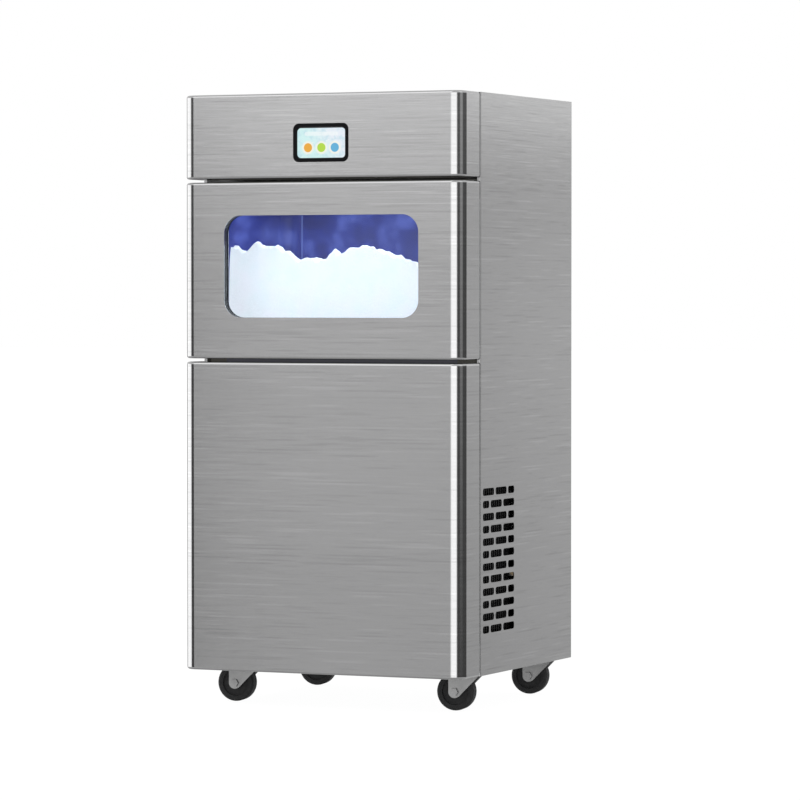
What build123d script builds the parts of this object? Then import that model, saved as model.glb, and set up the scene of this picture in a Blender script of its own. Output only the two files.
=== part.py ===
"""Snow ice machine: a brushed steel cabinet on four swivel casters, with a flip-up bin door.

Lengths are in millimetres. +X is the object's right, +Y its back and +Z up. The origin is on the
floor, under the middle of the cabinet.
"""
import os
from math import cos, radians, sin, sqrt

from build123d import *

os.makedirs("parts", exist_ok=True)

# Cabinet
body_width = 500
body_depth = 475
total_height = 1006
floor_gap = 60
corner_radius = 20
bend_radius = 4
sheet = 1.5
fit_gap = 0.3

# Front panels, from the top down
front_return = 73
shadow_gap = 4.5
panel_gap = 5.5
fascia_height = 138
door_height = 289

# Display in the fascia
display_x = 1
display_drop = 80.8
bezel_width = 99
bezel_height = 62.5
bezel_radius = 10
bezel_depth = 14
bezel_flange = 5
screen_width = 87
screen_height = 51.5
screen_radius = 7
screen_ledge = 2.5
screen_recess = 1
screen_thickness = 3
board_width = 130
board_height = 82
board_thickness = 1.6

# Window in the door
window_width = 348
window_height = 167
window_radius = 29
window_drop = 54.5
frame_width = 12
pane_recess = 10
pane_ledge = 6
pane_thickness = 4
splay_side = 28
splay_height = 10

# Door body and its pivot
liner_thickness = 3
pivot_set_back = 17
pivot_drop = 20
pivot_radius = 4
pin_play = 0.2
arm_thickness = 3
arm_half_height = 8
arm_play = 2
arm_length = 122
gasket_width = 12
gasket_inset = 19

# Bin, and the space for the machinery between its foam and the back panel
mouth_side = 45
mouth_margin = 3
mouth_height = 228
bin_headroom = 10
machine_room = 136
liner_wall = 3
insulation = 27
foam_above = 10

# Base, deck and back
base_floor = 95
base_rim = 18
deck_height = 452
back_recess = 15
side_lip = 12

# Side vents, one row of slots above the other
vent_rows = 12
vent_pitch = 20.37
vent_top = 358
vent_front = 87.8
vent_height = 12
vent_radius = 4.5
vent_bridge = 6.5
vent_long = 46.5
vent_short = 26

# Casters
caster_side_inset = 50.5
caster_shift = 13.5
caster_front_inset = 116
caster_back_inset = 41.5
caster_yaw = 8
caster_trail = 20
wheel_radius = 31
wheel_width = 24
axle_radius = 4
plate_half = 26
plate_thickness = 3
fork_thickness = 2.5
fork_back = 10
race_radius = 20

# Freezing cylinder
cylinder_side = 150
cylinder_set_back = 71
cylinder_bore = 75
cylinder_outer = 110
cylinder_foot = 300
auger_shaft_radius = 14
auger_pitch = 110
flight_thickness = 5
ice_outlet_width = 60
ice_outlet_height = 34
outlet_drop = 20
outlet_rise = 6

# Refrigeration set behind the side vents
condenser_front = 95
condenser_depth = 130
condenser_height = 276
condenser_thickness = 34
shroud_depth = 30
fan_radius = 56
fan_blades_count = 5
compressor_x = 92
compressor_set_back = 96
compressor_radius = 72

# Water side
tank_width = 160
tank_depth = 110
tank_height = 148
tank_wall = 2.5
tank_x = 122
tank_gap = 10

# Worked out from the sizes above
half_width = body_width / 2
front_y = -body_depth / 2
back_y = body_depth / 2
return_y = front_y + front_return
cabinet_y = return_y + shadow_gap
inner_half = half_width - sheet
fascia_bottom = total_height - fascia_height
door_top = fascia_bottom - panel_gap
door_bottom = door_top - door_height
service_top = door_bottom - panel_gap
display_z = total_height - display_drop
window_top = door_top - window_drop
window_z = window_top - window_height / 2
pivot_y = front_y + pivot_set_back
pivot_z = door_top - pivot_drop
back_sheet_y = back_y - back_recess - sheet
cover_underside = total_height - sheet
bin_back = back_sheet_y - machine_room - insulation - liner_wall
bin_floor = deck_height + insulation + liner_wall
bin_ceiling = door_top - bin_headroom
outlet_z = bin_ceiling - outlet_drop
cylinder_x = cylinder_side - half_width
cylinder_y = back_sheet_y - cylinder_set_back
cylinder_top = outlet_z - ice_outlet_height / 2 - outlet_rise
compressor_y = back_sheet_y - compressor_set_back
tank_y = back_sheet_y - tank_gap - tank_depth / 2


def corner_inner_x(y):
    """Half-width inside the wrapped front sheet at a depth within its rounded corner."""
    centre_x = half_width - corner_radius
    centre_y = front_y + corner_radius
    return centre_x + sqrt((corner_radius - sheet) ** 2 - max(centre_y - y, 0) ** 2)


def upright(y):
    """Plane across the machine at a depth, drawn as seen from the front; extruding goes forward."""
    return Plane(origin=(0, y, 0), x_dir=(1, 0, 0), z_dir=(0, -1, 0))


def span_box(x_span, y_span, z_span, mode=Mode.ADD):
    """A box given by its two faces along each axis."""
    spans = (x_span, y_span, z_span)
    with Locations(tuple(sum(span) / 2 for span in spans)):
        Box(*(high - low for low, high in spans), mode=mode)


def wrapped_block(inset, bottom, top, back):
    """Block with a front panel's plan: two rounded front corners, bent top and bottom edges."""
    with BuildPart() as block:
        with BuildSketch(Plane.XY.offset(bottom)) as plan:
            with Locations((0, (front_y + inset + back) / 2)):
                Rectangle(body_width - 2 * inset, back - front_y - inset)
            fillet(plan.vertices().group_by(Axis.Y)[0], corner_radius - inset)
        extrude(amount=top - bottom)
        ends = block.faces().sort_by(Axis.Z)
        rims = ends[0].edges().sort_by(Axis.Y)[:-1] + ends[-1].edges().sort_by(Axis.Y)[:-1]
        fillet(rims, bend_radius - inset)
    return block.part


def wrapped_panel(bottom, top):
    """Folded sheet that wraps the cabinet's front and both front corners, open at the back."""
    outside = wrapped_block(0, bottom, top, return_y)
    inside = wrapped_block(sheet, bottom + sheet, top - sheet, return_y + shadow_gap)
    with BuildPart() as panel:
        add(outside)
        add(inside, mode=Mode.SUBTRACT)
    return panel.part


# Control fascia: the top front cover, with the display's hole and a tongue under the top cover
fascia_sheet = wrapped_panel(fascia_bottom, total_height)
tongue_half = half_width - 3 * side_lip
tongue_reach = 18
with BuildPart() as control_fascia:
    add(fascia_sheet)
    with BuildSketch(upright(front_y + 2 * sheet)):
        with Locations((display_x, display_z)):
            RectangleRounded(bezel_width + fit_gap, bezel_height + fit_gap, bezel_radius)
    extrude(amount=4 * sheet, mode=Mode.SUBTRACT)
    span_box(
        (-tongue_half, tongue_half),
        (return_y - tongue_reach, cabinet_y + tongue_reach),
        (cover_underside - sheet, cover_underside),
    )
control_fascia.part.label = "control_fascia"
export_step(control_fascia.part, "parts/control_fascia.step")

# Display bezel: a moulded frame, flush in the fascia, with a flange behind the sheet
with BuildPart() as display_bezel:
    with BuildSketch(upright(front_y + bezel_depth)):
        with Locations((display_x, display_z)):
            RectangleRounded(bezel_width, bezel_height, bezel_radius)
    extrude(amount=bezel_depth)
    fillet(display_bezel.faces().sort_by(Axis.Y)[0].edges(), 1)
    with BuildSketch(upright(front_y + bezel_depth)):
        with Locations((display_x, display_z)):
            RectangleRounded(
                bezel_width + 2 * bezel_flange, bezel_height + 2 * bezel_flange, bezel_radius + bezel_flange
            )
    extrude(amount=bezel_depth - sheet)
    with BuildSketch(upright(front_y + bezel_depth)):
        with Locations((display_x, display_z)):
            RectangleRounded(screen_width, screen_height, screen_radius)
    extrude(amount=bezel_depth, mode=Mode.SUBTRACT)
    with BuildSketch(upright(front_y + bezel_depth)):
        with Locations((display_x, display_z)):
            RectangleRounded(screen_width + 2 * screen_ledge, screen_height + 2 * screen_ledge, screen_radius)
    extrude(amount=bezel_depth - screen_recess - sheet, mode=Mode.SUBTRACT)
display_bezel.part.label = "display_bezel"
export_step(display_bezel.part, "parts/display_bezel.step")

# Display screen: a touch glass that sits in the bezel's rebate
screen_back = front_y + screen_recess + sheet + screen_thickness
with BuildPart() as display_screen:
    with BuildSketch(upright(screen_back)):
        with Locations((display_x, display_z)):
            RectangleRounded(screen_width + 2 * screen_ledge - fit_gap,
                             screen_height + 2 * screen_ledge - fit_gap, screen_radius)
    extrude(amount=screen_thickness)
display_screen.part.label = "display_screen"
export_step(display_screen.part, "parts/display_screen.step")

# Control board: a circuit board against the bezel's back, with relays, a transformer and sockets
board_back = front_y + bezel_depth + board_thickness
board_hole_inset = 4.5
board_hole_radius = 1.8
row_shift = 30
relay_size = (15, 14, 18)
relay_pitch = 20
relay_rise = 18
transformer_size = (38, 26, 32)
transformer_shift = 36
transformer_drop = 18
plug_size = (18, 9, 8)
plug_pitch = 22
plug_drop = 30
with BuildPart() as control_board:
    with BuildSketch(upright(board_back)):
        with Locations((display_x, display_z)):
            Rectangle(board_width, board_height)
            with GridLocations(board_width - 2 * board_hole_inset, board_height - 2 * board_hole_inset, 2, 2):
                Circle(board_hole_radius, mode=Mode.SUBTRACT)
    extrude(amount=board_thickness)
    with Locations((display_x - row_shift, board_back, display_z + relay_rise)):
        with GridLocations(relay_pitch, 1, 4, 1):
            Box(*relay_size, align=(Align.CENTER, Align.MIN, Align.CENTER))
    with Locations((display_x + transformer_shift, board_back, display_z - transformer_drop)):
        Box(*transformer_size, align=(Align.CENTER, Align.MIN, Align.CENTER))
    with Locations((display_x - row_shift, board_back, display_z - plug_drop)):
        with GridLocations(plug_pitch, 1, 3, 1):
            Box(*plug_size, align=(Align.CENTER, Align.MIN, Align.CENTER))
control_board.part.label = "control_board"
export_step(control_board.part, "parts/control_board.step")

# Service panel: the plain lower front cover, with a narrow front flange along its bottom
service_flange = 16
service_sheet = wrapped_panel(floor_gap, service_top)
with BuildPart() as service_panel:
    add(service_sheet)
    span_box(
        (-inner_half, inner_half),
        (front_y + service_flange, return_y + shadow_gap),
        (floor_gap - sheet, floor_gap + bend_radius),
        mode=Mode.SUBTRACT,
    )
service_panel.part.label = "service_panel"
export_step(service_panel.part, "parts/service_panel.step")


def side_profile():
    """Closed plan outline of the right side's folded sheet, from its front lip to its rear hook."""
    front_lip = half_width - side_lip / 2
    rear_lip = half_width - side_lip
    hook_y = back_y - back_recess
    return [
        (front_lip, cabinet_y),
        (half_width, cabinet_y),
        (half_width, back_y),
        (rear_lip, back_y),
        (rear_lip, hook_y),
        (rear_lip + sheet, hook_y),
        (rear_lip + sheet, back_y - sheet),
        (inner_half, back_y - sheet),
        (inner_half, cabinet_y + sheet),
        (front_lip, cabinet_y + sheet),
    ]


def side_sheet():
    """Right side panel without its vents: the folded sheet and the flange that carries the cover."""
    with BuildPart() as side:
        with BuildSketch(Plane.XY.offset(floor_gap)):
            with BuildLine():
                Polyline(*side_profile(), close=True)
            make_face()
        extrude(amount=cover_underside - floor_gap)
        outer_edges = side.edges().filter_by(Axis.Z).group_by(Axis.X)[-1]
        fillet(outer_edges, sheet * 0.9)
        span_box(
            (half_width - side_lip, inner_half),
            (cabinet_y + sheet, back_y - sheet),
            (cover_underside - sheet, cover_underside),
        )
    return side.part


plain_side = side_sheet()

# Left side panel
with BuildPart() as left_side_panel:
    add(mirror(plain_side, about=Plane.YZ))
left_side_panel.part.label = "left_side_panel"
export_step(left_side_panel.part, "parts/left_side_panel.step")

# Right side panel: staggered rows of slots, long-long-short and short-long-long in turn
with BuildPart() as right_side_panel:
    add(plain_side)
    with BuildSketch(Plane.YZ.offset(half_width + sheet)):
        for row in range(vent_rows):
            lengths = [vent_long, vent_long, vent_short]
            if row % 2:
                lengths.reverse()
            start = front_y + vent_front
            for length in lengths:
                with Locations((start + length / 2, vent_top - row * vent_pitch)):
                    RectangleRounded(length, vent_height, vent_radius)
                start += length + vent_bridge
    extrude(amount=-3 * sheet, mode=Mode.SUBTRACT)
right_side_panel.part.label = "right_side_panel"
export_step(right_side_panel.part, "parts/right_side_panel.step")

# Top cover: a lid sheet on the side panels' flanges, turned down at the back
cover_lip = 20
with BuildPart() as top_cover:
    with BuildSketch(Plane.XY.offset(cover_underside)) as cover_plan:
        with Locations((0, (cabinet_y + back_y) / 2)):
            Rectangle(body_width, back_y - cabinet_y)
        fillet(cover_plan.vertices(), sheet)
    extrude(amount=sheet)
    lip_half = half_width - side_lip - fit_gap
    span_box((-lip_half, lip_half), (back_sheet_y + sheet, back_sheet_y + 2 * sheet),
             (cover_underside - cover_lip, cover_underside))
top_cover.part.label = "top_cover"
export_step(top_cover.part, "parts/top_cover.step")

# Places of the fittings on the back panel
water_inlet_x = 150
water_inlet_rise = 110
water_inlet_z = base_floor + water_inlet_rise
drain_x = 30
drain_rise = 50
drain_z = base_floor + drain_rise
power_side = 55
power_rise = 70
power_x = power_side - half_width
power_z = base_floor + power_rise
spigot_radius = 10.5
drain_radius = 11
socket_width = 48
socket_height = 28

# Back panel: a flat sheet behind the side panels' hooks, with louvres and the fittings' holes
louvre_rows = 10
louvre_pitch = 20
louvre_columns = 3
louvre_length = 70
louvre_width = 7
louvre_gap = 24
louvre_deck_drop = 90
louvre_top_drop = 100
screw_side = 12
screw_rise = 40
back_screw_x = half_width - side_lip - screw_side
back_screw_z = (base_floor + screw_rise, deck_height, cover_underside - screw_rise)
with BuildPart() as back_panel:
    span_box((-inner_half, inner_half), (back_sheet_y, back_sheet_y + sheet),
             (base_floor + sheet, cover_underside - sheet))
    with BuildSketch(upright(back_sheet_y + 2 * sheet)):
        with Locations((water_inlet_x, water_inlet_z)):
            Circle(spigot_radius + fit_gap)
        with Locations((drain_x, drain_z)):
            Circle(drain_radius + fit_gap)
        with Locations((power_x, power_z)):
            Rectangle(socket_width + fit_gap, socket_height + fit_gap)
        with Locations((0, deck_height - louvre_deck_drop), (0, total_height - louvre_top_drop)):
            with GridLocations(louvre_length + louvre_gap, louvre_pitch, louvre_columns, louvre_rows // 2):
                SlotOverall(louvre_length, louvre_width)
    extrude(amount=3 * sheet, mode=Mode.SUBTRACT)
back_panel.part.label = "back_panel"
export_step(back_panel.part, "parts/back_panel.step")

# Back screws: pan heads on the back panel
screw_head_radius = 4.2
screw_head_height = 2.4
screw_head_edge = 0.8
with BuildPart() as back_screws:
    with BuildSketch(upright(back_sheet_y + sheet + screw_head_height)):
        for screw_z in back_screw_z:
            with Locations((-back_screw_x, screw_z), (back_screw_x, screw_z)):
                Circle(screw_head_radius)
    extrude(amount=screw_head_height)
    chamfer(back_screws.faces().group_by(Axis.Y)[-1].edges(), screw_head_edge)
back_screws.part.label = "back_screws"
export_step(back_screws.part, "parts/back_screws.step")

# Base pan: the tray that carries the machinery, its rim inside the front panel and the sides
pan_inner = wrapped_block(2 * sheet, base_floor + sheet, base_floor + 3 * base_rim, back_sheet_y - sheet)
with BuildPart() as base_pan:
    with BuildSketch(Plane.XY.offset(base_floor)) as pan_plan:
        with Locations((0, (front_y + sheet + back_sheet_y + sheet) / 2)):
            Rectangle(2 * inner_half, back_sheet_y - front_y)
        fillet(pan_plan.vertices().group_by(Axis.Y)[0], corner_radius - sheet)
    extrude(amount=base_rim)
    add(pan_inner, mode=Mode.SUBTRACT)
    for hand in (-1, 1):
        lip_x = sorted((hand * inner_half, hand * (inner_half - side_lip / 2)))
        span_box(lip_x, (cabinet_y - fit_gap, cabinet_y + sheet + fit_gap),
                 (base_floor, base_floor + base_rim), mode=Mode.SUBTRACT)
    span_box((-inner_half, inner_half), (back_sheet_y, back_sheet_y + sheet),
             (base_floor + sheet, base_floor + base_rim), mode=Mode.SUBTRACT)
base_pan.part.label = "base_pan"
export_step(base_pan.part, "parts/base_pan.step")

# Bin deck: the shelf that carries the bin and the water tank, with down-turned sides
deck_lip = 22
barrel_gap = 2
hose_hole_radius = 12
hose_hole_inset = 25
deck_front = cabinet_y + 2 * sheet
with BuildPart() as bin_deck:
    span_box((-inner_half, inner_half), (deck_front, back_sheet_y), (deck_height - deck_lip, deck_height))
    span_box((-inner_half + sheet, inner_half - sheet), (deck_front + sheet, back_sheet_y - sheet),
             (deck_height - deck_lip, deck_height - sheet), mode=Mode.SUBTRACT)
    with BuildSketch(Plane.XY.offset(deck_height + sheet)):
        with Locations((cylinder_x, cylinder_y)):
            Circle(cylinder_outer / 2 + barrel_gap)
        with Locations((tank_x + tank_width / 2 + hose_hole_radius, back_sheet_y - hose_hole_inset),
                       (drain_x, back_sheet_y - hose_hole_inset)):
            Circle(hose_hole_radius)
    extrude(amount=-3 * sheet, mode=Mode.SUBTRACT)
bin_deck.part.label = "bin_deck"
export_step(bin_deck.part, "parts/bin_deck.step")

# Bin liner: a moulded tub, open to the front through its mouth, with a flange round the mouth
mouth_half_width = half_width - mouth_side
liner_outer_half = mouth_half_width + liner_wall
liner_front = cabinet_y + liner_wall
bin_depth = bin_back - liner_front
mouth_bottom = door_bottom + gasket_inset + mouth_margin
mouth_top = mouth_bottom + mouth_height
flange_half = half_width - side_lip / 2 - fit_gap
arm_outer_x = corner_inner_x(pivot_y - arm_half_height) - 2 * arm_play
arm_inner_x = arm_outer_x - arm_thickness
with BuildPart() as bin_liner:
    with BuildSketch(Plane.XY.offset(bin_floor - liner_wall)) as tub_plan:
        with Locations((0, (cabinet_y + bin_back + liner_wall) / 2)):
            Rectangle(2 * liner_outer_half, bin_back + liner_wall - cabinet_y)
        fillet(tub_plan.vertices().group_by(Axis.Y)[-1], corner_radius)
    extrude(amount=bin_ceiling - bin_floor + 2 * liner_wall)
    with BuildSketch(Plane.XY.offset(bin_floor)) as hollow_plan:
        with Locations((0, (liner_front + bin_back) / 2)):
            Rectangle(2 * mouth_half_width, bin_depth)
        fillet(hollow_plan.vertices().group_by(Axis.Y)[-1], corner_radius - liner_wall)
    extrude(amount=bin_ceiling - bin_floor, mode=Mode.SUBTRACT)
    with BuildSketch(upright(liner_front)):
        with Locations((0, (door_bottom + door_top) / 2)):
            Rectangle(2 * flange_half, door_height)
    extrude(amount=liner_wall)
    with BuildSketch(upright(liner_front + liner_wall)):
        with Locations((0, (mouth_bottom + mouth_top) / 2)):
            RectangleRounded(2 * mouth_half_width, mouth_height, corner_radius)
    extrude(amount=3 * liner_wall, mode=Mode.SUBTRACT)
    for hand in (-1, 1):
        notch_x = sorted((hand * (arm_inner_x - fit_gap), hand * (half_width + fit_gap)))
        span_box(notch_x, (cabinet_y - fit_gap, liner_front + fit_gap),
                 (pivot_z - arm_half_height - arm_play, pivot_z + arm_half_height + arm_play),
                 mode=Mode.SUBTRACT)
    with BuildSketch(upright(bin_back + 2 * liner_wall)):
        with Locations((cylinder_x, outlet_z)):
            Rectangle(ice_outlet_width + fit_gap, ice_outlet_height + fit_gap)
    extrude(amount=3 * liner_wall, mode=Mode.SUBTRACT)
bin_liner.part.label = "bin_liner"
export_step(bin_liner.part, "parts/bin_liner.step")

# Bin insulation: the foam block round the tub, standing on the deck
foam_half = arm_inner_x
foam_back = bin_back + liner_wall + insulation
foam_top = bin_ceiling + liner_wall + foam_above
with BuildPart() as bin_insulation:
    span_box((-foam_half, foam_half), (liner_front, foam_back), (deck_height, foam_top))
    with BuildSketch(Plane.XY.offset(bin_floor - liner_wall)) as tub_hole:
        with Locations((0, (cabinet_y + bin_back + liner_wall) / 2)):
            Rectangle(2 * liner_outer_half, bin_back + liner_wall - cabinet_y)
        fillet(tub_hole.vertices().group_by(Axis.Y)[-1], corner_radius)
    extrude(amount=bin_ceiling - bin_floor + 2 * liner_wall, mode=Mode.SUBTRACT)
    with BuildSketch(upright(foam_back + sheet)):
        with Locations((cylinder_x, outlet_z)):
            Rectangle(ice_outlet_width + fit_gap, ice_outlet_height + fit_gap)
    extrude(amount=insulation + 3 * sheet, mode=Mode.SUBTRACT)
bin_insulation.part.label = "bin_insulation"
export_step(bin_insulation.part, "parts/bin_insulation.step")

# Lamp bar: a light strip under the bin's ceiling, just inside the mouth
lamp_half = 150
lamp_set_back = 40
lamp_depth = 24
lamp_height = 12
lamp_edge = 5
with BuildPart() as lamp_bar:
    with BuildSketch(Plane.YZ.offset(-lamp_half)) as lamp_section:
        with Locations((liner_front + lamp_set_back, bin_ceiling - lamp_height / 2)):
            Rectangle(lamp_depth, lamp_height)
        fillet(lamp_section.vertices().group_by(Axis.Y)[0], lamp_edge)
    extrude(amount=2 * lamp_half)
lamp_bar.part.label = "lamp_bar"
export_step(lamp_bar.part, "parts/lamp_bar.step")

# Snow ice: a heap that slopes up from the mouth, with an uneven crest from side to side. The crest is
# given as shares of the heap's half-width and of the mouth's height, the slope as shares of the bin's
# depth and of the mouth's height.
ice_gap = fit_gap
ice_set_back = 6
ice_front = liner_front + ice_set_back
ice_half = mouth_half_width - ice_gap
crest = [(-1, 0.73), (-0.87, 0.687), (-0.78, 0.75), (-0.61, 0.74), (-0.38, 0.641), (-0.15, 0.646),
         (-0.08, 0.704), (0.12, 0.723), (0.23, 0.717), (0.55, 0.638), (0.7, 0.59), (1, 0.56)]
slope = [(0, 0.2), (0.04, 0.5), (0.08, 0.68), (0.15, 0.765), (1, 0.8)]
with BuildPart() as snow_ice:
    with BuildSketch(Plane.XY.offset(bin_floor + ice_gap)) as ice_plan:
        with Locations((0, (ice_front + bin_back - ice_gap) / 2)):
            Rectangle(2 * ice_half, bin_back - ice_gap - ice_front)
        fillet(ice_plan.vertices().group_by(Axis.Y)[-1], corner_radius)
    extrude(amount=mouth_top - bin_floor)
    with BuildSketch(upright(bin_back)):
        with BuildLine():
            top_line = Polyline(*[(ice_half * across, mouth_bottom + mouth_height * up)
                                  for across, up in crest])
            Polyline(top_line @ 1, (ice_half, bin_floor), (-ice_half, bin_floor), top_line @ 0)
        make_face()
    extrude(amount=bin_back - liner_front, mode=Mode.INTERSECT)
    with BuildSketch(Plane.YZ.offset(-half_width)):
        with BuildLine():
            face_line = Polyline(*[(ice_front + (bin_back - ice_front) * back,
                                    mouth_bottom + mouth_height * up)
                                   for back, up in slope])
            Polyline(face_line @ 1, (bin_back, bin_floor), (ice_front, bin_floor), face_line @ 0)
        make_face()
    extrude(amount=body_width, mode=Mode.INTERSECT)
snow_ice.part.label = "snow_ice"
export_step(snow_ice.part, "parts/snow_ice.step")

# Hinge arms: flat plates on the bin's foam block that reach forward to the door's pivot
with BuildPart() as hinge_arms:
    for start_x in (-arm_outer_x, arm_inner_x):
        with BuildSketch(Plane.YZ.offset(start_x)):
            with Locations((pivot_y + arm_length / 2, pivot_z)):
                SlotOverall(arm_length + 2 * arm_half_height, 2 * arm_half_height)
            with Locations((pivot_y, pivot_z)):
                Circle(pivot_radius + pin_play, mode=Mode.SUBTRACT)
        extrude(amount=arm_thickness)
hinge_arms.part.label = "hinge_arms"
export_step(hinge_arms.part, "parts/hinge_arms.step")

# Door skin: a folded steel tray with the window's hole and a slot above each hinge arm
pocket_inner_x = arm_inner_x - arm_play
pocket_outer_x = arm_outer_x + arm_play
pocket_reach = arm_half_height + arm_play / 2
door_sheet = wrapped_panel(door_bottom, door_top)
with BuildPart() as door_skin:
    add(door_sheet)
    with BuildSketch(upright(front_y + 2 * sheet)):
        with Locations((0, window_z)):
            RectangleRounded(window_width, window_height, window_radius)
    extrude(amount=4 * sheet, mode=Mode.SUBTRACT)
    for hand in (-1, 1):
        slot_x = sorted((hand * pocket_inner_x, hand * pocket_outer_x))
        span_box(slot_x, (pivot_y - pocket_reach, return_y + sheet),
                 (door_top - bend_radius, door_top + sheet), mode=Mode.SUBTRACT)
door_skin.part.label = "door_skin"
export_step(door_skin.part, "parts/door_skin.step")


def cut_arm_pockets(end_x):
    """Cuts the space that the hinge arms sweep at the door's ends, up from below the pivot."""
    for hand in (-1, 1):
        pocket_x = sorted((hand * pocket_inner_x, hand * end_x))
        span_box(pocket_x, (pivot_y - pocket_reach, return_y + sheet),
                 (pivot_z - pocket_reach, door_top + sheet), mode=Mode.SUBTRACT)


# Depths of the window's layers
liner_y = return_y - liner_thickness
frame_front = front_y + sheet
pane_front = frame_front + pane_recess
splay_front = pane_front + pane_thickness
splay_back = liner_y - pane_thickness


def window_outline(margin, splay=0):
    """Draws the window's outline on the current sketch, larger by a margin and by a share of the splay."""
    with Locations((0, window_z)):
        RectangleRounded(window_width + 2 * (margin + splay * splay_side),
                         window_height + 2 * (margin + splay * splay_height), window_radius + margin)


def window_funnel(margin):
    """Solid between the panes that widens with the splay, larger by a margin all round."""
    with BuildPart() as funnel:
        with BuildSketch(upright(splay_front)):
            window_outline(margin)
        with BuildSketch(upright(splay_back)):
            window_outline(margin, 1)
        loft(ruled=True)
    return funnel.part


# Door liner: the moulded inner face of the door, which holds the panes in their frame
with BuildPart() as door_liner:
    with BuildSketch(upright(return_y)):
        with Locations((0, (door_bottom + door_top) / 2)):
            RectangleRounded(2 * inner_half, door_height - 2 * sheet, bend_radius - sheet)
    extrude(amount=liner_thickness)
    with BuildSketch(upright(return_y + sheet)):
        window_outline(0, 1)
    extrude(amount=liner_thickness + 3 * sheet, mode=Mode.SUBTRACT)
    cut_arm_pockets(inner_half + sheet)
door_liner.part.label = "door_liner"
export_step(door_liner.part, "parts/door_liner.step")

# Door foam: the core between skin and liner, round the window frame
foam_block = wrapped_block(sheet, door_bottom + sheet, door_top - sheet, liner_y)
frame_funnel = window_funnel(frame_width)
with BuildPart() as door_foam:
    add(foam_block)
    with BuildSketch(upright(splay_front)):
        window_outline(frame_width)
    extrude(amount=splay_front - front_y + sheet, mode=Mode.SUBTRACT)
    add(frame_funnel, mode=Mode.SUBTRACT)
    with BuildSketch(upright(return_y)):
        window_outline(frame_width, 1)
    extrude(amount=return_y - splay_back, mode=Mode.SUBTRACT)
    cut_arm_pockets(inner_half + sheet)
door_foam.part.label = "door_foam"
export_step(door_foam.part, "parts/door_foam.step")

# Window frame: a moulded tunnel that widens inward, with a front lip that stops the outer pane
pane_funnel = window_funnel(pane_ledge)
with BuildPart() as window_frame:
    with BuildSketch(upright(splay_front)):
        window_outline(frame_width)
    extrude(amount=splay_front - frame_front)
    add(frame_funnel)
    with BuildSketch(upright(liner_y)):
        window_outline(frame_width, 1)
    extrude(amount=pane_thickness)
    with BuildSketch(upright(splay_front)):
        window_outline(0)
    extrude(amount=splay_front - frame_front + sheet, mode=Mode.SUBTRACT)
    with BuildSketch(upright(splay_front)):
        window_outline(pane_ledge)
    extrude(amount=pane_thickness, mode=Mode.SUBTRACT)
    add(pane_funnel, mode=Mode.SUBTRACT)
    with BuildSketch(upright(liner_y)):
        window_outline(pane_ledge, 1)
    extrude(amount=pane_thickness, mode=Mode.SUBTRACT)
window_frame.part.label = "window_frame"
export_step(window_frame.part, "parts/window_frame.step")

# Window spacer: the ring that keeps the two panes apart
spacer_outside = window_funnel(pane_ledge - fit_gap / 2)
spacer_inside = window_funnel(0)
with BuildPart() as window_spacer:
    add(spacer_outside)
    add(spacer_inside, mode=Mode.SUBTRACT)
window_spacer.part.label = "window_spacer"
export_step(window_spacer.part, "parts/window_spacer.step")

# Outer pane against the frame's lip
with BuildPart() as window_outer_pane:
    with BuildSketch(upright(splay_front)):
        window_outline(pane_ledge - fit_gap / 2)
    extrude(amount=pane_thickness)
window_outer_pane.part.label = "window_outer_pane"
export_step(window_outer_pane.part, "parts/window_outer_pane.step")

# Inner pane against the door liner
with BuildPart() as window_inner_pane:
    with BuildSketch(upright(liner_y)):
        window_outline(pane_ledge - fit_gap / 2, 1)
    extrude(amount=pane_thickness)
window_inner_pane.part.label = "window_inner_pane"
export_step(window_inner_pane.part, "parts/window_inner_pane.step")

# Door gasket: a soft ring on the door's back that meets the bin's flange below the pivot
gasket_half = half_width - gasket_inset
gasket_bottom = door_bottom + gasket_inset - gasket_width
gasket_top = pivot_z - arm_play
with BuildPart() as door_gasket:
    with BuildSketch(upright(cabinet_y - fit_gap)):
        with Locations((0, (gasket_bottom + gasket_top) / 2)):
            RectangleRounded(2 * gasket_half, gasket_top - gasket_bottom, corner_radius)
            RectangleRounded(2 * (gasket_half - gasket_width), gasket_top - gasket_bottom - 2 * gasket_width,
                             corner_radius - gasket_width, mode=Mode.SUBTRACT)
    extrude(amount=shadow_gap - fit_gap)
door_gasket.part.label = "door_gasket"
export_step(door_gasket.part, "parts/door_gasket.step")

# Pivot pins: from the door's core, through the arms, to its end walls
pin_end_x = corner_inner_x(pivot_y - pivot_radius) - fit_gap
with BuildPart() as door_pivot_pins:
    for start_x in (-pin_end_x, pocket_inner_x):
        with BuildSketch(Plane.YZ.offset(start_x)):
            with Locations((pivot_y, pivot_z)):
                Circle(pivot_radius)
        extrude(amount=pin_end_x - pocket_inner_x)
door_pivot_pins.part.label = "door_pivot_pins"
export_step(door_pivot_pins.part, "parts/door_pivot_pins.step")

# Freezing cylinder: an insulated barrel with an end flange at the foot
foot_overhang = 10
foot_radius = cylinder_outer / 2 + foot_overhang
foot_thickness = 12
with BuildPart() as freezing_cylinder:
    with BuildSketch(upright(cylinder_y)):
        with BuildLine():
            Polyline(
                (cylinder_x + cylinder_bore / 2, cylinder_foot),
                (cylinder_x + foot_radius, cylinder_foot),
                (cylinder_x + foot_radius, cylinder_foot + foot_thickness),
                (cylinder_x + cylinder_outer / 2, cylinder_foot + foot_thickness),
                (cylinder_x + cylinder_outer / 2, cylinder_top),
                (cylinder_x + cylinder_bore / 2, cylinder_top),
                close=True,
            )
        make_face()
    revolve(axis=Axis((cylinder_x, cylinder_y, 0), (0, 0, 1)))
freezing_cylinder.part.label = "freezing_cylinder"
export_step(freezing_cylinder.part, "parts/freezing_cylinder.step")

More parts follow.
